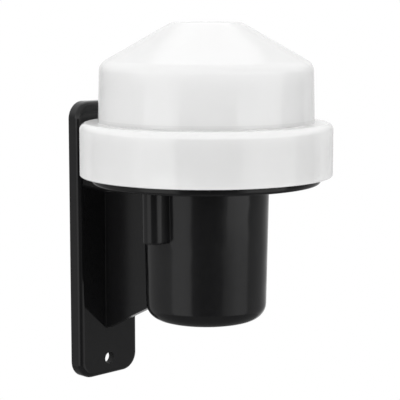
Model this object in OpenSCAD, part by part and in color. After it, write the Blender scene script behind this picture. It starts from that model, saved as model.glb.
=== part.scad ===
// Photocell switch on a wall bracket, in millimetres.
// The origin is on the wall, halfway between the two fixing holes.
// +Z is up, and the switch stands out from the wall along -Y.

/* [Wall plate] */
// Width of the wall plate
plate_w = 25.6; // [20:0.1:34]
// Height of the wall plate
plate_h = 92.8; // [86:0.1:110]
// Depth of the plate from the wall to its front face
plate_depth = 4.8; // [4:0.1:8]
// Thickness of the plate's front panel
plate_panel = 2.7; // [1.8:0.1:3.4]
// Thickness of the rim and the ribs behind the panel
plate_rib = 2; // [1.2:0.1:3]
// Radius of the plate's corners
plate_corner_r = 5.8; // [4:0.1:9]
// Rounding of the plate's front edge
plate_edge_r = 1.8; // [0.5:0.1:2.2]
// Diameter of the two fixing holes
screw_hole_d = 4; // [3:0.1:5]
// Distance from a fixing hole to the nearer end of the plate
screw_inset = 5.7; // [5.5:0.1:9]

/* [Bracket] */
// Distance from the plate's front face to the axis of cup and cap
reach = 45.7; // [42:0.1:60]
// Height of the cap's lower edge over the plate's lower end
seat_h = 71.8; // [66:0.1:85]
// Thickness of the web between plate and cup
web_t = 3; // [2:0.1:5]
// Gap between the flange and the web's top edge, at the plate
web_gap = 6.9; // [5:0.1:10]
// Rise of the web's top edge towards the cup, in degrees
web_top_rise = 2.9; // [0:0.1:8]
// Height of the web where it meets the plate
web_root_h = 46.3; // [38:0.1:52]
// Rise of the web's lower edge towards the cup, in degrees
web_rise = 26; // [15:0.5:32]

/* [Base] */
// Thickness of the rim's wall
rim_wall = 2.5; // [1.8:0.1:3.5]
// Rounding of the rim's edges
rim_edge_r = 0.5; // [0.2:0.1:0.8]
// Gap between the flange's edge and the cap's skirt
flange_gap = 1.65; // [1:0.05:3]
// Rounding of the flange's lower edge
flange_edge_r = 1; // [0.3:0.1:1.5]
// Thickness of the flange
flange_t = 2.4; // [1.8:0.1:4]
// Diameter of the cup under the flange
cup_d = 39; // [36:0.1:44]
// Depth of the cup from the flange's underside
cup_depth = 42.6; // [36:0.1:50]
// Taper of the cup's wall, in degrees
cup_draft = 1.1; // [0.3:0.1:2]
// Thickness of the cup's wall
cup_wall = 2.2; // [1.6:0.1:2.8]
// Thickness of the cup's floor
cup_floor = 2.5; // [1.8:0.1:4]
// Rounding round the cup's lower end
cup_edge_r = 5; // [3.5:0.1:8]
// Radius of the two screw columns on the cup
column_r = 3.4; // [2.8:0.1:4.5]
// Distance from the cup's outer wall to a column's axis
column_offset = 2.9; // [1:0.1:4]
// Length of the screw columns below the flange
column_h = 16.6; // [10:0.1:24]
// Rounding of the columns' lower edge
column_edge_r = 0.7; // [0.3:0.1:2]

/* [Cap] */
// Diameter of the cap's skirt
skirt_d = 78; // [76:0.1:84]
// Height of the skirt
skirt_h = 16.3; // [15.5:0.1:20]
// Rounding of the skirt's upper edge
skirt_edge_r = 2; // [0.5:0.1:2.5]
// Rounding of the skirt's lower edge
skirt_lip_r = 0.5; // [0.2:0.1:0.8]
// Width of the step from the skirt to the drum
step_w = 5.65; // [4.5:0.05:7]
// Taper of the drum's wall, in degrees
drum_draft = 1.57; // [0:0.1:4]
// Height of the corner between drum and cone, unrounded
shoulder_h = 34.2; // [30:0.1:40]
// Rounding between drum and cone
shoulder_r = 3.8; // [2.5:0.1:6]
// Height of the whole cap
cap_h = 46.9; // [44:0.1:54]
// Diameter of the flat top, unrounded
top_d = 21.2; // [16:0.1:30]
// Rounding between cone and top
top_r = 4; // [2.5:0.1:8]
// Thickness of the cap's wall
cap_wall = 2; // [1.4:0.1:2.4]

/* [Bayonet] */
// Room between the base's rim and the cap's skirt, for lugs and ledges
bayonet_depth = 3.5; // [2.5:0.1:5]
// Number of bayonet lugs
lug_count = 3; // [2:1:4]
// Angle that the cap turns from locked to open
twist = 40; // [35:1:50]
// Width of a lug, in degrees
lug_span = 20; // [14:1:24]
// Thickness of lugs and ledges
lug_t = 2; // [1.4:0.1:2.4]
// Height of the lugs over the skirt's lower edge
lug_lift = 1.6; // [1:0.1:2]
// Running clearance round lugs, ledges and gasket
running_gap = 0.4; // [0.3:0.05:0.6]
// Height of the gasket on the rim
gasket_h = 1.7; // [1:0.1:2.5]

/* [Cable entry] */
// Diameter of the cable that the grommet takes
cable_d = 7.6; // [6:0.1:9]
// Wall of the grommet round the cable
grommet_wall = 1.6; // [1:0.1:2.5]
// Reach of the grommet's lips over the floor
grommet_lip = 1.8; // [1:0.1:2.5]
// Thickness of the grommet's lips
grommet_lip_t = 1; // [0.8:0.1:2]

/* [Circuit board] */
// Gap between the circuit board and the rim
board_gap = 1.5; // [0.5:0.1:2]
// Thickness of the circuit board
board_t = 1.6; // [1:0.1:2]
// Height of the standoffs under the board
standoff_h = 4; // [2.5:0.1:5]
// Diameter of the standoffs
standoff_d = 7; // [6:0.1:8]
// Diameter of the pilot holes for the board's screws
pilot_d = 2.5; // [2:0.1:2.8]
// Clearance between a screw and its hole in the board
screw_play = 0.3; // [0.2:0.05:0.5]
// Diameter of the screws' heads
screw_head_d = 5.6; // [5:0.1:6]
// Length of the screws under the head
board_screw_l = 14; // [10:0.5:16]

/* [Terminals] */
// Distance from one terminal to the next
pole_pitch = 5.1; // [5:0.1:5.4]
// Depth of the terminal block
block_depth = 8.4; // [8:0.1:9]
// Height of the terminal block
block_h = 10; // [9:0.1:11]
// Distance from the axis to the block's centre
block_offset = 19; // [18.6:0.1:20]
// Diameter of the clamp screws
clamp_screw_d = 3; // [2.6:0.1:3.2]

/* [Parts on the board] */
// Length of the relay
relay_l = 19; // [16:0.1:20]
// Width of the relay
relay_w = 15.5; // [13:0.1:16]
// Height of the relay
relay_h = 15.3; // [12:0.1:18]
// Length of the dropper capacitor
dropper_l = 18; // [15:0.1:19]
// Width of the dropper capacitor
dropper_w = 8; // [6:0.1:8.5]
// Height of the dropper capacitor
dropper_h = 14.5; // [11:0.1:16]
// Diameter of the smoothing capacitor
smoothing_d = 10; // [8:0.1:11]
// Height of the smoothing capacitor
smoothing_h = 16; // [11:0.1:17]
// Diameter of the delay capacitor
delay_d = 5; // [4:0.1:5.4]
// Height of the delay capacitor
delay_h = 7; // [5:0.1:11]
// Diameter of the varistor
varistor_d = 9; // [7:0.1:10]
// Thickness of the varistor
varistor_t = 4; // [3:0.1:4.6]
// Diameter of the leads
lead_d = 0.6; // [0.5:0.05:0.8]
// Height of the photoresistor's face over the board
sensor_h = 18; // [12:0.1:24]
// Diameter of the photoresistor
sensor_d = 5.2; // [4:0.1:7]
// Width of the trimmer
trimmer_w = 6.6; // [6:0.1:7]
// Height of the trimmer
trimmer_h = 4.8; // [4:0.1:6]

/* [Hidden] */

$fn = 96;
// Straight pieces in the arc that rounds a corner of an outline
arc_steps = 8;
// Length by which cutters run past the faces they cut
past = 1;

// Where the cap's lower edge meets the cup's axis
axis_y = -plate_depth - reach;
seat_z = seat_h - plate_h / 2;
screw_z = plate_h / 2 - screw_inset;

// Heights over the cap's lower edge, which is level with the flange's inner floor
flange_z = -flange_t;
cup_low_z = flange_z - cup_depth;
cup_inner_z = cup_low_z + cup_floor;
web_top_z = flange_z - web_gap;
web_root_z = web_top_z - web_root_h;
board_z = standoff_h;
board_top_z = board_z + board_t;
cap_ceiling_z = skirt_h - cap_wall;
rim_h = cap_ceiling_z - running_gap - gasket_h;

// Radii about the cup's axis
skirt_r = skirt_d / 2;
skirt_inner_r = skirt_r - cap_wall;
drum_r = skirt_r - step_w;
rim_r = skirt_inner_r - bayonet_depth;
rim_inner_r = rim_r - rim_wall;
flange_r = skirt_inner_r - flange_gap;
cup_r = cup_d / 2;
cup_low_r = cup_r - cup_depth * tan(cup_draft);
cup_inner_r = cup_r - cup_wall;
cup_inner_low_r = cup_low_r - cup_wall;
column_x = cup_r + column_offset;
lug_r = rim_r + running_gap;
ledge_r = skirt_inner_r - 2 * running_gap;
board_r = rim_inner_r - board_gap;
shoulder_x = drum_r - (shoulder_h - skirt_h) * tan(drum_draft);
top_x = top_d / 2;
cable_r = cable_d / 2;
grommet_r = cable_r + grommet_wall;
pilot_r = pilot_d / 2;

// Places on the board: distance to the right of the axis, and distance towards the wall
part_gap = 1;
block_end = 0.45;
block_w = 3 * pole_pitch + 2 * block_end;
slot_w = 3 * pole_pitch;
slot_depth = 5;
slot_front = -block_offset + block_depth / 2 + part_gap;
slot_back = slot_front + slot_depth;
head_side_x = column_x - screw_head_d / 2 - part_gap;
relay_y = 2.8;
fusible_d = 3.4;
fusible_l = 9;
fusible_span = 13;
fusible_y = 11;
dropper_y = fusible_y + fusible_d / 2 + part_gap + dropper_w / 2;
smoothing_at = [-dropper_l / 2 - 3 * part_gap - smoothing_d / 2, 10.5];
varistor_at = [dropper_l / 2 + 3 * part_gap + varistor_d / 2, 10];
delay_at = [column_x, -screw_head_d / 2 - part_gap - delay_d / 2];
chip_l = 9.4;
chip_at = [chip_l / 2 - head_side_x, -4.6];
trimmer_at = [head_side_x - trimmer_w / 2, -4.6];
zener_d = 1.9;
zener_l = 3.6;
zener_span = 6;
zener_at = [-4.6, 7];
transistor_at = [6, 7];
row_d = 2.6;
row_span = 6.4;
row_gap = 0.6;
row_pitch = row_d + row_gap;
row_x = block_w / 2 + row_gap + row_d / 2;
row_y = trimmer_at.y - trimmer_w / 2 - row_gap - (row_span + lead_d) / 2;
row_count = 4;
diode_l = 4.4;
resistor_d = 2.3;
resistor_l = 4.6;

function unit(v) = v / norm(v);

// Points of the arc of radius r that rounds corner b between its neighbours a and c
function corner_arc(a, b, c, r) =
    let(
        to_a = unit(a - b),
        to_c = unit(c - b),
        half = acos(max(-1, min(1, to_a * to_c))) / 2,
        centre = b + unit(to_a + to_c) * r / sin(half),
        from = b + to_a * r / tan(half) - centre,
        start = atan2(from.y, from.x),
        sweep = (cross(to_a, to_c) < 0 ? 1 : -1) * (180 - 2 * half)
    )
    [
        for (i = [0 : arc_steps])
            let(angle = start + sweep * i / arc_steps)
            centre + r * [cos(angle), sin(angle)]
    ];

// Outline through corners given as [x, y, rounding radius]
function rounded(corners) =
    let(n = len(corners), xy = [for (p = corners) [p.x, p.y]])
    [
        for (i = [0 : n - 1])
            each corners[i].z > 0
                ? corner_arc(xy[(i + n - 1) % n], xy[i], xy[(i + 1) % n], corners[i].z)
                : [xy[i]]
    ];

// Corners of a rectangle of width w and height h about the middle, all rounded by r
function box_corners(w, h, r) =
    [[-w / 2, -h / 2, r], [w / 2, -h / 2, r], [w / 2, h / 2, r], [-w / 2, h / 2, r]];

// Moves children from the cup's axis, at the cap's lower edge, to their place
module on_axis() {
    translate([0, axis_y, seat_z]) children();
}

// Moves children from the middle of a part's foot to its place on top of the board
module on_board(at) {
    on_axis() translate([at.x, at.y, board_top_z]) children();
}

// Solid of revolution through corners given as [radius, height, rounding radius]
module turned(corners) {
    rotate_extrude() polygon(rounded(corners));
}

// Ring sector about the axis, from radius r1 to r2 and height z1 to z2
module sector(r1, r2, z1, z2, from, span) {
    rotate([0, 0, from])
        rotate_extrude(angle = span)
            translate([r1, z1]) square([r2 - r1, z2 - z1]);
}

// Section of the plate near its edge: width w from the plate's inside to its edge
module plate_section(w) {
    polygon(rounded([[0, 0, 0], [w, 0, 0], [w, plate_depth, plate_edge_r], [0, plate_depth, 0]]));
}

// Plate's outer form, lying with its back on z = 0 and its height along y
module plate_form() {
    inner_w = plate_w - 2 * plate_corner_r;
    inner_h = plate_h - 2 * plate_corner_r;
    translate([-inner_w / 2, -inner_h / 2, 0]) cube([inner_w, inner_h, plate_depth]);
    for (turn = [0, 180]) rotate([0, 0, turn]) {
        translate([inner_w / 2, inner_h / 2, 0])
            rotate([90, 0, 0])
                linear_extrude(inner_h) plate_section(plate_corner_r);
        translate([-inner_w / 2, inner_h / 2, 0])
            rotate([90, 0, 90])
                linear_extrude(inner_w) plate_section(plate_corner_r);
        translate([inner_w / 2, inner_h / 2, 0]) rotate_extrude(angle = 90) plate_section(plate_corner_r);
        translate([-inner_w / 2, inner_h / 2, 0])
            rotate([0, 0, 90])
                rotate_extrude(angle = 90) plate_section(plate_corner_r);
    }
}

// Hollow behind the plate's panel, with a rib up the middle and one across it
module plate_hollow() {
    hollow_depth = plate_depth - plate_panel;
    hollow_w = plate_w - 2 * plate_rib;
    hollow_h = plate_h - 2 * plate_rib;
    rib_h = 2 * screw_z - 3 * screw_hole_d;
    rib_depth = hollow_depth + 3 * past;
    difference() {
        translate([0, 0, -past])
            linear_extrude(hollow_depth + past)
                polygon(rounded(box_corners(hollow_w, hollow_h, plate_corner_r - plate_rib)));
        translate([-plate_rib / 2, -rib_h / 2, -2 * past]) cube([plate_rib, rib_h, rib_depth]);
        translate([-plate_w / 2, -plate_rib / 2, -2 * past]) cube([plate_w, plate_rib, rib_depth]);
    }
}

// Thin upright web from the plate's panel into the cup, with its top edge clear of the flange
module web() {
    root_y = -plate_depth + plate_panel / 2;
    cup_y = axis_y + cup_inner_low_r;
    span = -plate_depth - cup_y;
    sunk = root_y + plate_depth;
    rise = tan(web_rise);
    top_rise = tan(web_top_rise);
    translate([-web_t / 2, 0, seat_z])
        rotate([90, 0, 90])
            linear_extrude(web_t)
                polygon([
                    [root_y, web_top_z - top_rise * sunk],
                    [cup_y, web_top_z + top_rise * span],
                    [cup_y, web_root_z + rise * span],
                    [root_y, web_root_z - rise * sunk]
                ]);
}

// Half-round screw column on the cup's wall, under the flange
module screw_column() {
    low_z = flange_z - column_h;
    high_z = flange_z + flange_t / 2;
    translate([column_x, 0, 0])
        turned([[0, low_z, 0], [column_r, low_z, column_edge_r], [column_r, high_z, 0], [0, high_z, 0]]);
    translate([cup_inner_r, 0, 0])
        rotate([90, 0, 90])
            linear_extrude(column_x - cup_inner_r)
                polygon(rounded([
                    [-column_r, low_z, column_edge_r], [column_r, low_z, column_edge_r],
                    [column_r, high_z, 0], [-column_r, high_z, 0]
                ]));
}

// Outer form of cup, flange and rim, without their hollow
module bowl_form() {
    turned([
        [0, cup_low_z, 0], [cup_low_r, cup_low_z, cup_edge_r], [cup_r, flange_z, 0],
        [flange_r, flange_z, flange_edge_r], [flange_r, 0, rim_edge_r], [rim_r, 0, 0],
        [rim_r, rim_h, rim_edge_r], [0, rim_h, 0]
    ]);
}

// Hollow of cup and rim, open at the top
module bowl_hollow() {
    turned([
        [0, cup_inner_z, 0], [cup_inner_low_r, cup_inner_z, cup_edge_r - cup_wall], [cup_inner_r, 0, 0],
        [rim_inner_r, 0, 0], [rim_inner_r, rim_h + past, 0], [0, rim_h + past, 0]
    ]);
}

// Bayonet ledges round the rim, each with a stop that hangs down at its locked end
module ledges() {
    ledge_z = lug_lift + lug_t + running_gap;
    slack = 2;
    stop_span = 3;
    root_r = rim_r - rim_wall / 2;
    for (i = [0 : lug_count - 1]) {
        from = 360 / lug_count * i + 90 - lug_span / 2 - slack - stop_span;
        sector(root_r, ledge_r, ledge_z, ledge_z + lug_t, from, twist + stop_span);
        sector(root_r, ledge_r, lug_lift, ledge_z + lug_t, from, stop_span);
    }
}

module base_housing() {
    color("#26272a")
        difference() {
            union() {
                rotate([90, 0, 0]) plate_form();
                difference() {
                    union() {
                        web();
                        on_axis() bowl_form();
                        on_axis() for (side = [0, 180]) rotate([0, 0, side]) screw_column();
                    }
                    on_axis() bowl_hollow();
                }
                on_axis() ledges();
                on_axis() for (side = [-1, 1])
                    translate([side * column_x, 0, -flange_t / 2])
                        cylinder(d = standoff_d, h = standoff_h + flange_t / 2);
            }
            rotate([90, 0, 0]) plate_hollow();
            for (z = [-screw_z, screw_z])
                translate([0, past, z])
                    rotate([90, 0, 0])
                        cylinder(d = screw_hole_d, h = plate_depth + 2 * past);
            on_axis() for (side = [-1, 1])
                translate([side * column_x, 0, standoff_h - board_screw_l - past])
                    cylinder(r = pilot_r, h = board_screw_l + 2 * past);
            on_axis() translate([0, 0, cup_low_z - past]) cylinder(r = grommet_r, h = cup_floor + 2 * past);
        }
}

module cap() {
    cone = atan((cap_h - shoulder_h) / (shoulder_x - top_x));
    cone_drop = cap_wall / cos(cone);
    inner_x = shoulder_x - cap_wall;
    inner_shoulder_z = shoulder_h + cap_wall * tan(cone) - cone_drop;
    inner_top_z = cap_h - cap_wall;
    inner_top_x = inner_x - (inner_top_z - inner_shoulder_z) / tan(cone);
    color("#f2f2ef") on_axis() {
        turned([
            [skirt_r, 0, skirt_lip_r], [skirt_r, skirt_h, skirt_edge_r], [drum_r, skirt_h, 0.3],
            [shoulder_x, shoulder_h, shoulder_r], [top_x, cap_h, top_r], [0, cap_h, 0],
            [0, inner_top_z, 0], [inner_top_x, inner_top_z, top_r - cap_wall / 2],
            [inner_x, inner_shoulder_z, shoulder_r - cap_wall / 2], [drum_r - cap_wall, cap_ceiling_z, 0],
            [skirt_inner_r, cap_ceiling_z, 0], [skirt_inner_r, 0, skirt_lip_r]
        ]);
        for (i = [0 : lug_count - 1])
            sector(lug_r, skirt_r - cap_wall / 2, lug_lift, lug_lift + lug_t,
                360 / lug_count * i + 90 - lug_span / 2, lug_span);
    }
}

module rim_gasket() {
    inset = 0.2;
    color("#3a3b3d") on_axis()
        turned([
            [rim_inner_r + inset, rim_h, 0], [rim_r - rim_edge_r - inset, rim_h, 0],
            [rim_r - rim_edge_r - inset, rim_h + gasket_h, 0.5], [rim_inner_r + inset, rim_h + gasket_h, 0.5]
        ]);
}

module cable_grommet() {
    lip_r = grommet_r + grommet_lip;
    lip_edge_r = grommet_lip_t / 2;
    low_z = cup_low_z - grommet_lip_t;
    high_z = cup_inner_z + grommet_lip_t;
    color("#303133") on_axis()
        turned([
            [cable_r, low_z, 0], [lip_r, low_z, lip_edge_r], [lip_r, cup_low_z, 0],
            [grommet_r, cup_low_z, 0], [grommet_r, cup_inner_z, 0],
            [lip_r, cup_inner_z, 0], [lip_r, high_z, lip_edge_r], [cable_r, high_z, 0]
        ]);
}

module circuit_board() {
    color("#c8a24a") on_axis() translate([0, 0, board_z])
        linear_extrude(board_t)
            difference() {
                circle(r = board_r);
                for (side = [-1, 1]) translate([side * column_x, 0]) circle(d = pilot_d + 2 * screw_play);
                translate([-slot_w / 2, slot_front]) square([slot_w, slot_back - slot_front]);
            }
}

module board_screws() {
    head_r = screw_head_d / 2;
    head_h = 2.1;
    head_edge_r = 1.2;
    shank_play = 0.05;
    drive_l = 3.2;
    drive_w = 0.9;
    color("#b9bcc0") on_axis() for (side = [-1, 1])
        translate([side * column_x, 0, board_top_z])
            difference() {
                union() {
                    turned([[0, 0, 0], [head_r, 0, 0], [head_r, head_h, head_edge_r], [0, head_h, 0]]);
                    translate([0, 0, -board_screw_l])
                        cylinder(r = pilot_r - shank_play, h = board_screw_l + head_h / 2);
                }
                for (turn = [0, 90]) rotate([0, 0, turn])
                    translate([-drive_l / 2, -drive_w / 2, head_h / 2]) cube([drive_l, drive_w, head_h]);
            }
}

// Runs children once for each pole of the terminal block
module each_pole() {
    for (i = [-1, 0, 1])
        on_board([i * pole_pitch, -block_offset]) children();
}

// Metal cage of a terminal, which the clamp screw presses the conductor into
cage_w = 4;
cage_h = 5.2;
cage_lift = 1.2;
conductor_d = 2.8;

module terminal_block() {
    foot_x = block_depth / 2;
    top_x = foot_x - 1.3;
    shoulder_z = block_h - 3.8;
    edge_r = 0.4;
    well_play = 0.8;
    color("#e9ece8") difference() {
        on_board([0, -block_offset])
            translate([-block_w / 2, 0, 0])
                rotate([90, 0, 90])
                    linear_extrude(block_w)
                        polygon(rounded([
                            [-foot_x, 0, 0], [foot_x, 0, 0], [foot_x, shoulder_z, edge_r],
                            [top_x, block_h, edge_r], [-top_x, block_h, edge_r], [-foot_x, shoulder_z, edge_r]
                        ]));
        each_pole() {
            translate([-cage_w / 2, -cage_w / 2, cage_lift]) cube([cage_w, block_depth, cage_h]);
            translate([0, 0, cage_lift]) cylinder(d = clamp_screw_d + well_play, h = block_h);
        }
    }
}

module terminal_clamps() {
    floor_t = 0.8;
    conductor_z = conductor_d / 2 + floor_t;
    color("#c9a95a") each_pole() translate([0, 0, cage_lift])
        difference() {
            translate([-cage_w / 2, -cage_w / 2, 0]) cube([cage_w, cage_w, cage_h]);
            translate([0, 0, conductor_z])
                rotate([90, 0, 0])
                    cylinder(d = conductor_d, h = cage_w + past, center = true);
            translate([0, 0, cage_h / 2]) cylinder(d = clamp_screw_d, h = cage_h);
        }
}

module terminal_screws() {
    slot_w = 0.6;
    slot_deep = 0.9;
    tip_lift = 0.8;
    head_sink = 1.2;
    tip_z = cage_lift + cage_h / 2 + tip_lift;
    head_z = block_h - head_sink;
    color("#c2c5c9") each_pole()
        difference() {
            translate([0, 0, tip_z]) cylinder(d = clamp_screw_d, h = head_z - tip_z);
            translate([-clamp_screw_d, -slot_w / 2, head_z - slot_deep])
                cube([2 * clamp_screw_d, slot_w, 2 * slot_deep]);
        }
}

module relay() {
    color("#2d5fa8") on_axis() translate([0, relay_y, board_z - relay_h])
        linear_extrude(relay_h) polygon(rounded(box_corners(relay_l, relay_w, 0.8)));
}

module dropper_capacitor() {
    color("#d9b23a") on_board([0, dropper_y])
        linear_extrude(dropper_h) polygon(rounded(box_corners(dropper_l, dropper_w, 0.6)));
}

// Upright electrolytic can with a rolled groove near its foot
module can(d, h) {
    r = d / 2;
    groove = d * 0.05;
    turned([
        [0, 0, 0], [r, 0, 0.4], [r, h * 0.12, 0], [r - groove, h * 0.16, 0], [r, h * 0.2, 0],
        [r, h, 0.5], [0, h, 0]
    ]);
}

module smoothing_capacitor() {
    color("#2b3550") on_board(smoothing_at) can(smoothing_d, smoothing_h);
}

module delay_capacitor() {
    color("#2b3550") on_board(delay_at) can(delay_d, delay_h);
}

module surge_varistor() {
    lift = 1.2;
    lead_gap = varistor_d * 0.55;
    color("#3f6fb0") on_board(varistor_at) {
        translate([0, varistor_t / 2, lift + varistor_d / 2])
            rotate([90, 0, 0])
                turned([
                    [0, 0, 0], [varistor_d / 2, 0, varistor_t * 0.4],
                    [varistor_d / 2, varistor_t, varistor_t * 0.4], [0, varistor_t, 0]
                ]);
        for (side = [-1, 1])
            translate([side * lead_gap / 2, 0, 0]) cylinder(d = lead_d, h = lift + varistor_d / 2);
    }
}

// Axial part lying along y, with its two leads bent down to the board
module axial(d, l, span) {
    lift = d / 2 + 0.3;
    translate([0, 0, lift]) rotate([90, 0, 0]) cylinder(d = d, h = l, center = true);
    translate([0, 0, lift]) rotate([90, 0, 0]) cylinder(d = lead_d, h = span + lead_d, center = true);
    for (side = [-1, 1])
        translate([0, side * span / 2, 0]) cylinder(d = lead_d, h = lift);
}

module rectifier_diodes() {
    color("#1c1c1e") for (i = [0 : row_count - 1])
        on_board([-row_x - row_pitch * i, row_y]) axial(row_d, diode_l, row_span);
}

module small_resistors() {
    color("#d8c39a") for (i = [0 : row_count - 1])
        on_board([row_x + row_pitch * i, row_y]) axial(resistor_d, resistor_l, row_span);
}

module zener_diode() {
    color("#b5552f") on_board(zener_at) rotate([0, 0, 90]) axial(zener_d, zener_l, zener_span);
}

module fusible_resistor() {
    color("#5f8f6a") on_board([0, fusible_y]) rotate([0, 0, 90]) axial(fusible_d, fusible_l, fusible_span);
}

module driver_transistor() {
    lift = 3;
    body_r = 2.3;
    body_h = 4.6;
    flat = 1.3;
    color("#222224") on_board(transistor_at) {
        translate([0, 0, lift]) difference() {
            cylinder(r = body_r, h = body_h);
            translate([-body_r - past, flat, -past]) cube([2 * (body_r + past), body_r, body_h + 2 * past]);
        }
        for (i = [-1, 0, 1])
            translate([i * 1.27, 0, 0]) cylinder(d = lead_d, h = lift + 0.5);
    }
}

module comparator_chip() {
    chip_w = 6.2;
    chip_h = 3.3;
    lift = 0.5;
    leg_w = 0.9;
    leg_t = 0.5;
    leg_pitch = 2.54;
    color("#202023") on_board(chip_at) {
        translate([0, 0, lift]) difference() {
            linear_extrude(chip_h) polygon(rounded(box_corners(chip_l, chip_w, 0.3)));
            translate([-chip_l / 2, 0, chip_h - 0.5]) cylinder(r = 0.9, h = chip_h);
        }
        for (i = [-1.5 : 1.5], side = [-1, 1])
            translate([i * leg_pitch - leg_w / 2, side * (chip_w / 2) - leg_t / 2, 0])
                cube([leg_w, leg_t, lift + chip_h / 2]);
    }
}

module photoresistor() {
    body_t = 2;
    lead_gap = 2.6;
    color("#c98a5a") on_board([0, 0]) {
        translate([0, 0, sensor_h - body_t])
            turned([[0, 0, 0], [sensor_d / 2, 0, 0.3], [sensor_d / 2, body_t, 0.4], [0, body_t, 0]]);
        for (side = [-1, 1])
            translate([side * lead_gap / 2, 0, 0]) cylinder(d = lead_d, h = sensor_h - body_t / 2);
    }
}

// Recess in the trimmer that its rotor turns in
rotor_play = 0.3;
rotor_d = trimmer_w - 2;
rotor_seat = 1.2;

module trimmer_body() {
    color("#2f62b5") on_board(trimmer_at)
        difference() {
            linear_extrude(trimmer_h) polygon(rounded(box_corners(trimmer_w, trimmer_w, 0.5)));
            translate([0, 0, trimmer_h - rotor_seat]) cylinder(d = rotor_d + 2 * rotor_play, h = trimmer_h);
        }
}

module trimmer_rotor() {
    rotor_h = rotor_seat + 0.4;
    slot_w = 0.8;
    slot_deep = 0.7;
    color("#f0f0ea") on_board(trimmer_at) translate([0, 0, trimmer_h - rotor_seat])
        difference() {
            cylinder(d = rotor_d, h = rotor_h);
            translate([-rotor_d, -slot_w / 2, rotor_h - slot_deep])
                cube([2 * rotor_d, slot_w, 2 * slot_deep]);
        }
}

base_housing();
cap();
rim_gasket();
cable_grommet();
circuit_board();
board_screws();
terminal_block();
terminal_clamps();
terminal_screws();
relay();
dropper_capacitor();
smoothing_capacitor();
delay_capacitor();
surge_varistor();
rectifier_diodes();
zener_diode();
fusible_resistor();
small_resistors();
driver_transistor();
comparator_chip();
photoresistor();
trimmer_body();
trimmer_rotor();
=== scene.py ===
from math import cos, radians, sin

import bmesh
import bpy
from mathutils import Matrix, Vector

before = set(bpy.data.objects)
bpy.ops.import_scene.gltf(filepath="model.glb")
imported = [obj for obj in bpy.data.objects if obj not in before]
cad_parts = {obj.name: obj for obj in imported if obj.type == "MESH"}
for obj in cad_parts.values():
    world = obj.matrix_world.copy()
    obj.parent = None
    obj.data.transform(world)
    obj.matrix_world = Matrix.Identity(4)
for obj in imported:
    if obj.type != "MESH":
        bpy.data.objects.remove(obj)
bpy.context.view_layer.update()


# Camera: a long lens to the left of the switch and a little above its middle, so that the wall plate is seen
# past the cup and the cap's step is seen from just above.
look_down = 7.602
look_right = 45.338
camera = bpy.data.objects.new("camera", bpy.data.cameras.new("camera"))
camera.location = (-0.30377, -0.34797, 0.07421)
camera.rotation_euler = (radians(90 - look_down), 0, radians(-look_right))
camera.data.sensor_width = 36
camera.data.lens = 124.5
camera.data.clip_start = 0.01
bpy.context.scene.collection.objects.link(camera)
bpy.context.scene.camera = camera
bpy.context.scene.view_settings.view_transform = "Standard"


# Base: wall plate, web, cup, flange and rim in one black ABS moulding from a polished tool, so it is glossy.
# The melt leaves faint waves as it sets, and handling leaves a fine haze. Two screws fix it to the wall.
# The plate is polished most, the web less, and the screw holes are left as the tool's pins make them.
class Signal:
    """A shader socket that takes part in sums: each operator adds one Math node."""

    def __init__(self, tree, socket=None):
        self.tree = tree
        self.socket = socket

    def node(self, kind, settings, sockets, output=0):
        """Adds a node: its settings first, then the values or links of its sockets."""
        made = self.tree.nodes.new(kind)
        for name, value in settings.items():
            if name == "stops":
                ramp = made.color_ramp.elements
                while len(ramp) < len(value):
                    ramp.new(1)
                for element, (position, colour) in zip(ramp, value):
                    element.position = position
                    element.color = (*colour, 1)
            else:
                setattr(made, name, value)
        for name, value in sockets.items():
            if isinstance(value, Signal):
                self.tree.links.new(value.socket, made.inputs[name])
            else:
                made.inputs[name].default_value = value
        return Signal(self.tree, made.outputs[output] if made.outputs else None)

    def maths(self, operation, first, second):
        return self.node("ShaderNodeMath", {"operation": operation}, {0: first, 1: second})

    def __add__(self, other):
        return self.maths("ADD", self, other)

    __radd__ = __add__

    def __sub__(self, other):
        return self.maths("SUBTRACT", self, other)

    def __rsub__(self, other):
        return self.maths("SUBTRACT", other, self)

    def __mul__(self, other):
        return self.maths("MULTIPLY", self, other)

    __rmul__ = __mul__

    def __gt__(self, other):
        return self.maths("GREATER_THAN", self, other)

    def __lt__(self, other):
        return self.maths("LESS_THAN", self, other)

    def __abs__(self):
        return self.maths("ABSOLUTE", self, 0)


def new_finish(name):
    """Starts a material and gives the place on the piece that its patterns read."""
    material = bpy.data.materials.new(name)
    material.use_nodes = True
    material.node_tree.nodes.clear()
    return material, Signal(material.node_tree).node("ShaderNodeTexCoord", {}, {}, "Object")


def cloud(place, scale, detail=3):
    """Soft noise from about 0.2 to 0.8, with lumps of 1 / scale metres."""
    return place.node("ShaderNodeTexNoise", {}, {"Vector": place, "Scale": scale, "Detail": detail}, "Fac")


def tint(place, share, colour, other):
    """One colour or colour signal going over to another by share."""
    def full(value):
        return value if isinstance(value, Signal) else (*value, 1)
    return place.node("ShaderNodeMix", {"data_type": "RGBA"}, {0: share, 6: full(colour), 7: full(other)}, 2)


def relief(place, height, depth=0.00002, normal=None):
    """Bumps of the given depth in metres."""
    sockets = {"Height": height, "Distance": depth}
    if normal is not None:
        sockets["Normal"] = normal
    return place.node("ShaderNodeBump", {}, sockets)


def skin(place, sockets):
    """Closes a finish with its surface shader."""
    surface = place.node("ShaderNodeBsdfPrincipled", {}, sockets)
    place.node("ShaderNodeOutputMaterial", {}, {"Surface": surface})


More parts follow.
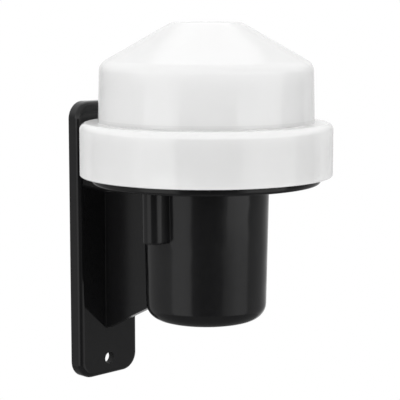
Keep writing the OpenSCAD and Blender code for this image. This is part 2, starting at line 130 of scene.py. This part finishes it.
def dress(node, material):
    """Gives a solid its finish, with smooth shading between its creases."""
    crease = 28
    least_gap = 2e-6
    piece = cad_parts[node]
    piece.data.materials.clear()
    piece.data.materials.append(material)
    piece.data.polygons.foreach_set("use_smooth", [True] * len(piece.data.polygons))
    weld = piece.modifiers.new("weld", "WELD")
    weld.merge_threshold = least_gap
    split = piece.modifiers.new("creases", "EDGE_SPLIT")
    split.split_angle = radians(crease)
    piece.modifiers.new("even_normals", "WEIGHTED_NORMAL")


def measure(place, axis, start=0):
    """Distance along X, Y or Z from a start, in metres."""
    return place.node("ShaderNodeSeparateXYZ", {}, {0: place}, axis) - start


web_half_width = 0.0016
web_middle = -0.0185
web_half_length = 0.0136
plate_front = -0.0056
hole_height = 0.0407
hole_radius = 0.0021
edge_radius = 0.0003
black_moulding, place = new_finish("black_moulding")
across = measure(place, "X")
web_face = (abs(across) < web_half_width) * (abs(measure(place, "Y", web_middle)) < web_half_length)
plate_face = measure(place, "Y", plate_front) > 0
beside = abs(measure(place, "Z")) - hole_height
bore_face = across * across + beside * beside < hole_radius ** 2
waves = cloud(place, 90, 2)
haze = cloud(place, 400, 4)
grain = cloud(place, 5000, 2)
rounded_edge = place.node("ShaderNodeBevel", {"samples": 6}, {"Radius": edge_radius})
skin(place, {
    "Base Color": tint(place, haze, (0.005, 0.005, 0.0053), (0.0085, 0.0085, 0.009)),
    "Roughness": 0.1 + 0.08 * haze + 0.1 * web_face - 0.06 * plate_face + 0.5 * bore_face,
    "IOR": 1.4,
    "Normal": relief(place, waves + 0.05 * grain, normal=rounded_edge),
})
dress("base_housing", black_moulding)


# Seals: the ring on the rim and the grommet in the cup's floor, both of soft moulded rubber.
# They are pushed into place, and their matt skin carries a fine bloom.
seal_rubber, place = new_finish("seal_rubber")
bloom = cloud(place, 900, 4)
skin(place, {
    "Base Color": tint(place, bloom, (0.018, 0.018, 0.019), (0.035, 0.035, 0.036)),
    "Roughness": 0.6 + 0.25 * bloom,
    "Normal": relief(place, cloud(place, 3500, 2), 0.00003),
})
for seal in ("rim_gasket", "cable_grommet"):
    dress(seal, seal_rubber)


# Circuit board: a round disc of paper laminate, punched from a sheet, with copper and green lacquer below.
# It rests on two standoffs over the cup, and the parts' leads go through it.
lacquer_top = 0.02945
laminate, place = new_finish("laminate")
stretched = place.node("ShaderNodeMapping", {}, {"Vector": place, "Scale": (60, 1500, 400)})
fibre = cloud(stretched, 1, 4)
bare = tint(place, fibre, (0.42, 0.27, 0.09), (0.58, 0.41, 0.17))
lacquer = tint(place, cloud(place, 300), (0.02, 0.10, 0.04), (0.03, 0.15, 0.06))
underside = measure(place, "Z", lacquer_top) < 0
skin(place, {
    "Base Color": tint(place, underside, bare, lacquer),
    "Roughness": 0.5 + 0.2 * fibre - 0.25 * underside,
    "Normal": relief(place, fibre),
})
dress("circuit_board", laminate)


# Screws: cold-headed steel, rolled and then zinc plated, so they are bright with a faint bluish cloud.
# Two hold the board down in the cup's columns, and three press the conductors into the clamps.
zinc, place = new_finish("zinc_plating")
patch = cloud(place, 1500, 3)
skin(place, {
    "Base Color": tint(place, patch, (0.56, 0.57, 0.60), (0.68, 0.68, 0.66)),
    "Metallic": 1,
    "Roughness": 0.22 + 0.2 * patch,
    "Normal": relief(place, cloud(place, 6000, 2), 0.00001),
})
for screws in ("board_screws", "terminal_screws"):
    dress(screws, zinc)


# Terminal block: three wells in one pale polyamide moulding, soldered to the board by its clamps.
# The tool's fine spark texture leaves it matt.
block_plastic, place = new_finish("block_plastic")
speckle = cloud(place, 4000, 3)
shade = cloud(place, 250, 2)
skin(place, {
    "Base Color": tint(place, shade, (0.68, 0.71, 0.67), (0.76, 0.78, 0.74)),
    "Roughness": 0.45 + 0.2 * speckle,
    "Subsurface Weight": 0.15,
    "Subsurface Scale": 0.001,
    "Normal": relief(place, speckle),
})
dress("terminal_block", block_plastic)


# Clamps: three cages bent from brass strip, one in each well, with a round way through for the conductor.
# Plain brass, a little tarnished from handling.
brass, place = new_finish("brass")
tarnish = cloud(place, 1200, 4)
skin(place, {
    "Base Color": tint(place, tarnish, (0.74, 0.54, 0.22), (0.52, 0.36, 0.13)),
    "Metallic": 1,
    "Roughness": 0.25 + 0.3 * tarnish,
    "Normal": relief(place, tarnish, 0.00001),
})
dress("terminal_clamps", brass)


# Relay: a sealed case of blue polyester that hangs from the board into the cup, where there is most room.
# Its lid is glued on, and the polished tool leaves it glossy.
relay_case, place = new_finish("relay_case")
shade = cloud(place, 300, 3)
skin(place, {
    "Base Color": tint(place, shade, (0.022, 0.085, 0.31), (0.035, 0.12, 0.40)),
    "Roughness": 0.2 + 0.15 * shade,
    "Normal": relief(place, shade),
})
dress("relay", relay_case)


# Dropper capacitor: wound film in a yellow moulded box, which is filled with grey resin from below.
# It stands on the board next to the wall side.
resin_top = 0.0316
film_box, place = new_finish("film_box")
speckle = cloud(place, 2500, 3)
resin = measure(place, "Z", resin_top) < 0
yellow = tint(place, cloud(place, 200, 2), (0.66, 0.40, 0.035), (0.75, 0.48, 0.06))
skin(place, {
    "Base Color": tint(place, resin, yellow, (0.32, 0.31, 0.29)),
    "Roughness": 0.38 + 0.2 * speckle,
    "Normal": relief(place, speckle),
})
dress("dropper_capacitor", film_box)


# Electrolytic capacitors: aluminium cans in a dark shrunk sleeve with a pale stripe down the minus side.
# The sleeve is rolled over the top's edge and leaves a disc of bare aluminium.
def can_finish(name, x, y, top, radius):
    """Sleeve, stripe and bare top of a can that stands at x, y with its top at the given height."""
    bare_radius = 0.78 * radius
    stripe_start = 0.4 * radius
    stripe_half = 0.45 * radius
    rolled_edge = 0.0002
    finish, place = new_finish(name)
    across = measure(place, "X", x)
    along = measure(place, "Y", y)
    crinkle = cloud(place, 1800, 3)
    on_top = measure(place, "Z", top - rolled_edge) > 0
    bare = on_top * (across * across + along * along < bare_radius ** 2)
    stripe = (along + stripe_start < 0) * (abs(across) < stripe_half)
    sleeve = tint(place, crinkle, (0.015, 0.02, 0.05), (0.03, 0.038, 0.08))
    marked = tint(place, stripe, sleeve, (0.45, 0.46, 0.48))
    skin(place, {
        "Base Color": tint(place, bare, marked, (0.62, 0.62, 0.63)),
        "Metallic": bare,
        "Roughness": 0.28 + 0.12 * crinkle,
        "Normal": relief(place, crinkle),
    })
    return finish


smoothing_sleeve = can_finish("smoothing_sleeve", x=-0.017, y=-0.04, top=0.047, radius=0.005)
dress("smoothing_capacitor", smoothing_sleeve)
delay_sleeve = can_finish("delay_sleeve", x=0.0224, y=-0.0568, top=0.038, radius=0.0025)
dress("delay_capacitor", delay_sleeve)


# Varistor: a zinc oxide disc dipped in blue resin, on two tinned leads.
# The dip runs down in soft drops, so its skin is wavy.
def leaded_skin(place, lead, colour, roughness, bumps):
    """Closes a finish that is tinned wire where lead is 1 and the part's body elsewhere."""
    tin = tint(place, cloud(place, 2500), (0.52, 0.52, 0.53), (0.70, 0.70, 0.69))
    skin(place, {
        "Base Color": tint(place, lead, colour, tin),
        "Metallic": lead,
        "Roughness": roughness,
        "Normal": relief(place, bumps),
    })


dip_edge = 0.0321
dipped, place = new_finish("dipped_resin")
drops = cloud(place, 450, 2)
blue = tint(place, drops, (0.03, 0.11, 0.33), (0.05, 0.16, 0.43))
leaded_skin(place, measure(place, "Z", dip_edge) < 0, blue, 0.25 + 0.2 * drops, drops)
dress("surge_varistor", dipped)


# Rectifier diodes: four black epoxy barrels in a row, moulded round tinned leads that are bent to the board.
# A silver band marks each one's cathode.
row_middle = -0.0625
barrel_half = 0.00225
band_start = 0.0009
band_end = 0.0016
barrel, place = new_finish("diode_barrel")
along = measure(place, "Y", row_middle)
grit = cloud(place, 5000, 3)
band = (along > band_start) * (along < band_end)
black = tint(place, grit, (0.012, 0.012, 0.012), (0.022, 0.022, 0.023))
marked = tint(place, band, black, (0.45, 0.45, 0.46))
leaded_skin(place, abs(along) > barrel_half, marked, 0.4 + 0.2 * grit, grit)
dress("rectifier_diodes", barrel)


# Zener diode: a chip sealed in orange glass between tinned leads, with a black band at its cathode.
# The glass is drawn and glossy.
glass_middle = -0.0046
glass_half = 0.00185
band_start = 0.0007
band_end = 0.0013
sealed_glass, place = new_finish("sealed_glass")
along = measure(place, "X", glass_middle)
streak = cloud(place, 1500, 3)
band = (along > band_start) * (along < band_end)
amber = tint(place, streak, (0.42, 0.10, 0.03), (0.58, 0.18, 0.06))
marked = tint(place, band, amber, (0.01, 0.01, 0.01))
leaded_skin(place, abs(along) > glass_half, marked, 0.08 + 0.1 * streak, streak)
dress("zener_diode", sealed_glass)


# Resistors: film on ceramic rods under enamel, green on the large fusible one and tan on the four small ones.
# Painted bands give their values, and the leads are tinned.
def painted_bands(place, along, colour, bands):
    """Body colour with painted bands, each given by its place along the rod and its paint."""
    half_width = 0.00025
    for start, paint in bands:
        colour = tint(place, abs(along - start) < half_width, colour, paint)
    return colour


red = (0.55, 0.06, 0.03)
brown = (0.16, 0.05, 0.02)
orange = (0.70, 0.20, 0.03)
violet = (0.30, 0.06, 0.30)
jet = (0.02, 0.02, 0.02)
gold = (0.60, 0.42, 0.12)

fusible_half = 0.00455
green_enamel, place = new_finish("green_enamel")
along = measure(place, "X")
sag = cloud(place, 700, 3)
green = tint(place, sag, (0.07, 0.22, 0.10), (0.12, 0.31, 0.15))
rings = painted_bands(place, along, green, ((-0.003, red), (-0.0015, red), (0, jet), (0.0028, gold)))
leaded_skin(place, abs(along) > fusible_half, rings, 0.35 + 0.2 * sag, sag)
dress("fusible_resistor", green_enamel)

small_half = 0.00235
second_pair = 0.0148
tan_enamel, place = new_finish("tan_enamel")
along = measure(place, "Y", row_middle)
sag = cloud(place, 900, 3)
tan = tint(place, sag, (0.52, 0.37, 0.20), (0.64, 0.48, 0.29))
varied = tint(place, measure(place, "X", second_pair) > 0, jet, violet)
rings = painted_bands(place, along, tan, (
    (-0.0016, brown), (-0.0007, varied), (0.0002, orange), (0.0016, gold),
))
leaded_skin(place, abs(along) > small_half, rings, 0.35 + 0.2 * sag, sag)
dress("small_resistors", tan_enamel)


# Transistor and comparator: both moulded in black epoxy with fine glass filler, so they are matt.
# Their tinned legs go straight down into the board.
transistor_foot = 0.03395
epoxy, place = new_finish("transistor_epoxy")
grit = cloud(place, 4500, 3)
black = tint(place, grit, (0.012, 0.012, 0.013), (0.025, 0.025, 0.026))
leaded_skin(place, measure(place, "Z", transistor_foot) < 0, black, 0.45 + 0.25 * grit, grit)
dress("driver_transistor", epoxy)

chip_middle = -0.0551
chip_half = 0.00312
chip_foot = 0.03145
epoxy, place = new_finish("comparator_epoxy")
grit = cloud(place, 4500, 3)
black = tint(place, grit, (0.012, 0.012, 0.013), (0.025, 0.025, 0.026))
outside = (abs(measure(place, "Y", chip_middle)) > chip_half) + (measure(place, "Z", chip_foot) < 0)
leaded_skin(place, outside > 0.5, black, 0.45 + 0.25 * grit, grit)
dress("comparator_chip", epoxy)


# Photoresistor: a ceramic wafer under clear resin, with a snaking sulphide track between two metal films.
# It stands on its leads close under the cap's top, where the daylight comes in.
wafer_foot = 0.04695
face_height = 0.0489
face_radius = 0.0021
cup_axis = -0.0505
snake_rate = 4500
snake_swing = 600
track_half = 0.4
wafer, place = new_finish("sensor_wafer")
across = measure(place, "X")
along = measure(place, "Y", cup_axis)
grain = cloud(place, 3000, 3)
snake = place.maths("SINE", along * snake_rate, 0) - across * snake_swing
face = (measure(place, "Z", face_height) > 0) * (across * across + along * along < face_radius ** 2)
ceramic = tint(place, grain, (0.60, 0.44, 0.28), (0.70, 0.54, 0.36))
film = tint(place, abs(snake) < track_half, (0.52, 0.50, 0.46), (0.45, 0.13, 0.03))
tracked = tint(place, face, ceramic, film)
leaded_skin(place, measure(place, "Z", wafer_foot) < 0, tracked, 0.15 + 0.1 * grain, grain)
dress("photoresistor", wafer)


# Trimmer: a blue moulded body soldered to the board, with a white slotted rotor to set the switching level.
# The rotor turns in a round seat and is turned with a small driver once the cap is off.
trimmer_plastic, place = new_finish("trimmer_plastic")
speckle = cloud(place, 3500, 3)
skin(place, {
    "Base Color": tint(place, speckle, (0.022, 0.10, 0.36), (0.035, 0.14, 0.46)),
    "Roughness": 0.35 + 0.2 * speckle,
    "Normal": relief(place, speckle),
})
dress("trimmer_body", trimmer_plastic)

slot_rim = 0.0356
rotor_plastic, place = new_finish("rotor_plastic")
speckle = cloud(place, 3500, 3)
# Painted shade: the rotor is painted a darker grey below the slot's rim, for the shade inside its slot.
shaded_slot_floor = measure(place, "Z", slot_rim) < 0
pale = tint(place, speckle, (0.72, 0.72, 0.68), (0.80, 0.80, 0.76))
skin(place, {
    "Base Color": tint(place, shaded_slot_floor, pale, (0.55, 0.55, 0.51)),
    "Roughness": 0.35 + 0.2 * speckle,
    "Normal": relief(place, speckle),
})
dress("trimmer_rotor", rotor_plastic)


# Cap: one thick moulding of opal white plastic, polished outside, which lets daylight through to the sensor.
# It is pushed over the rim and turned, so that the lugs in its skirt run under the base's ledges.
# The skirt is painted a shade darker than the dome, as painted shade where the black rim shows through; step
# and cone are polished less than the walls.
def rising(value, low, high):
    """0 below low, 1 above high, and even in between."""
    return value.node("ShaderNodeMapRange", {}, {0: value, 1: low, 2: high})


step_height = 0.0417
step_depth = 0.0001
dome_foot = 0.043
cone_start = 0.053
cone_edge = 0.06
opal_moulding, place = new_finish("opal_moulding")
height = measure(place, "Z")
shade = cloud(place, 70, 2)
speck = cloud(place, 1200, 4)
# Painted shade: the skirt's colour is a darker copy of the dome's, split at the dome's foot.
shaded_skirt_colour = tint(place, shade, (0.865, 0.865, 0.86), (0.895, 0.895, 0.89))
lit_dome_colour = tint(place, shade, (0.92, 0.92, 0.915), (0.95, 0.95, 0.945))
step_face = abs(height - step_height) < step_depth
cone_face = rising(height, cone_start, cone_edge)
skin(place, {
    "Base Color": tint(place, height > dome_foot, shaded_skirt_colour, lit_dome_colour),
    "Roughness": 0.05 + 0.05 * speck + 0.1 * step_face + 0.13 * cone_face,
    "IOR": 1.57,
    "Subsurface Weight": 0.7,
    "Subsurface Radius": (1, 1, 1),
    "Subsurface Scale": 0.007,
    "Coat Weight": 0.5 - 0.5 * step_face - 0.3 * cone_face,
    "Coat Roughness": 0.05,
    "Normal": relief(place, shade + 0.05 * speck),
})
dress("cap", opal_moulding)


# Studio: the switch hangs in a round light tent over a pale sweep, under a wide soft light.
# Lamps behind the tent's cloth make it glow at both front corners, and it is dark where the camera looks in.
# Only the gloss sees the tent: the lamps and the white sky light the switch.
middle = Vector((0, -0.045, 0.012))
camera_side = 225.36
floor_z = -0.7
stage_radius = 1.2


def soft_light(name, turn, distance, height, size, power):
    """A square light aimed at the switch: degrees to the camera's right, distance out, and height."""
    angle = radians(camera_side + turn)
    lamp = bpy.data.lights.new(name, "AREA")
    lamp.size = size
    lamp.energy = power
    holder = bpy.data.objects.new(name, lamp)
    holder.location = middle + Vector((distance * cos(angle), distance * sin(angle), height))
    holder.rotation_euler = (middle - holder.location).to_track_quat("-Z", "Y").to_euler()
    holder.visible_camera = False
    bpy.context.scene.collection.objects.link(holder)
    return holder


soft_light("light_above", turn=178, distance=0.55, height=1.05, size=0.71, power=1.16)
for name, turn, power in (("light_left", -50, 1.0), ("light_right", 55, 0.65)):
    side_light = soft_light(name, turn, distance=0.95, height=0.35, size=0.7, power=power)
    side_light.visible_glossy = False


def stage_object(name, mesh, material):
    """Turns a bmesh into a stage object, which isn't part of the switch."""
    data = bpy.data.meshes.new(name)
    mesh.to_mesh(data)
    mesh.free()
    data.materials.append(material)
    made = bpy.data.objects.new(name, data)
    bpy.context.scene.collection.objects.link(made)
    return made


sweep, place = new_finish("pale_sweep")
matt = place.node("ShaderNodeBsdfDiffuse", {}, {"Color": (0.8, 0.8, 0.8, 1)})
floor_lift = 0.25
seeing_rays = ("Is Camera Ray", "Is Glossy Ray", "Is Transmission Ray")
seen = sum(place.node("ShaderNodeLightPath", {}, {}, ray) for ray in seeing_rays) > 0.5
lift = place.node("ShaderNodeEmission", {}, {"Strength": floor_lift * seen})
both = place.node("ShaderNodeAddShader", {}, {0: matt, 1: lift})
place.node("ShaderNodeOutputMaterial", {}, {"Surface": both})
sheet = bmesh.new()
bmesh.ops.create_grid(sheet, x_segments=1, y_segments=1, size=stage_radius)
bmesh.ops.translate(sheet, vec=(0, 0, floor_z), verts=sheet.verts)
stage_object("floor", sheet, sweep)

# Brightness of the tent's cloth, by degrees to the camera's right
cloth_glow = [
    (-180, 0.72), (-165, 0.55), (-148, 0.24), (-125, 0.22), (-85, 0.32), (-69, 0.39), (-66, 0.68),
    (-44, 0.74), (-30, 0.66), (-26.5, 0.15), (-10, 0.08), (12, 0.08), (28, 0.14), (32, 0.30), (45, 0.43),
    (60, 0.63), (80, 0.57), (84.5, 0.28), (125, 0.25), (148, 0.35), (165, 0.55), (180, 0.72),
]
# Heights on the cloth that the cup, the cap's skirt and its drum mirror
cup_row = (-0.207, -0.125)
skirt_row = (-0.12, -0.049)
drum_row = (-0.049, 0.035)
cap_rows = (-0.12, 0.035)
# Panels hung before the cloth: from and to in degrees, heights and brightness
panels = [
    (37, 82, cup_row, 1),  # hot foot of the right-hand light
    (84, 111, skirt_row, 0),  # dark flags at its edge
    (84, 123, drum_row, 0),
    (-67, -36, drum_row, 0.98),  # hot heads of the two lights
    (31, 58, drum_row, 0.74),
    (-26, 30, cap_rows, 0),  # dark gap where the camera looks in
    (120, 165, skirt_row, 0.44),  # pale sheets at the back
    (-165, -125, skirt_row, 0.4),
    (52, 83, skirt_row, 0.4),  # gauze over the right-hand light
]
full_turn = 360
front_half = 88
band_foot = 0.035
band_full = 0.1
roof_foot = 0.12
roof_full = 0.6
tent_floor = floor_z + 0.01
sheet_edge = floor_z + 0.02
cloth_strength = 1.4
cloth, place = new_finish("tent_cloth")
centred = place.node("ShaderNodeMapping", {"vector_type": "TEXTURE"}, {
    "Vector": place, "Location": (middle.x, middle.y, 0), "Rotation": (0, 0, radians(camera_side)),
})
turned = place.node("ShaderNodeTexGradient", {"gradient_type": "RADIAL"}, {"Vector": centred}, "Fac")
stops = [(0.5 + turn / full_turn, (share,) * 3) for turn, share in cloth_glow]
glow = place.node("ShaderNodeValToRGB", {"stops": stops}, {"Fac": turned})
height = measure(place, "Z")
band = rising(height, band_foot, band_full) * (abs(turned - 0.5) < front_half / full_turn)
glow = tint(place, band, glow, (1.2, 1.2, 1.2))
glow = tint(place, rising(height, roof_foot, roof_full), glow, (0.7, 0.7, 0.7))
for first, last, (bottom, top), share in panels:
    sideways = (turned > 0.5 + first / full_turn) * (turned < 0.5 + last / full_turn)
    upright = (height > bottom) * (height < top)
    glow = tint(place, sideways * upright, glow, (share,) * 3)
glow = tint(place, height < sheet_edge, glow, (0.17, 0.17, 0.17))
lit = place.node("ShaderNodeEmission", {}, {"Color": glow, "Strength": cloth_strength})
place.node("ShaderNodeOutputMaterial", {}, {"Surface": lit})
axis_gap = 0.01
eaves = 1.1
peak = 1.5
outline = ((axis_gap, tent_floor), (stage_radius, tent_floor), (stage_radius, eaves), (axis_gap, peak))
wall = bmesh.new()
corners = [wall.verts.new((middle.x + out, middle.y, up)) for out, up in outline]
seams = [wall.edges.new(pair) for pair in zip(corners, corners[1:])]
bmesh.ops.spin(
    wall, geom=corners + seams, cent=middle, axis=(0, 0, 1),
    angle=radians(full_turn), steps=96, use_merge=True,
)
tent = stage_object("tent", wall, cloth)
tent.visible_camera = tent.visible_diffuse = tent.visible_shadow = False

world = bpy.data.worlds.new("studio")
world.use_nodes = True
world.node_tree.nodes.clear()
bpy.context.scene.world = world
sky = Signal(world.node_tree)
backdrop = sky.node("ShaderNodeBackground", {}, {"Color": (1, 1, 1, 1), "Strength": 1})
sky.node("ShaderNodeOutputWorld", {}, {"Surface": backdrop})
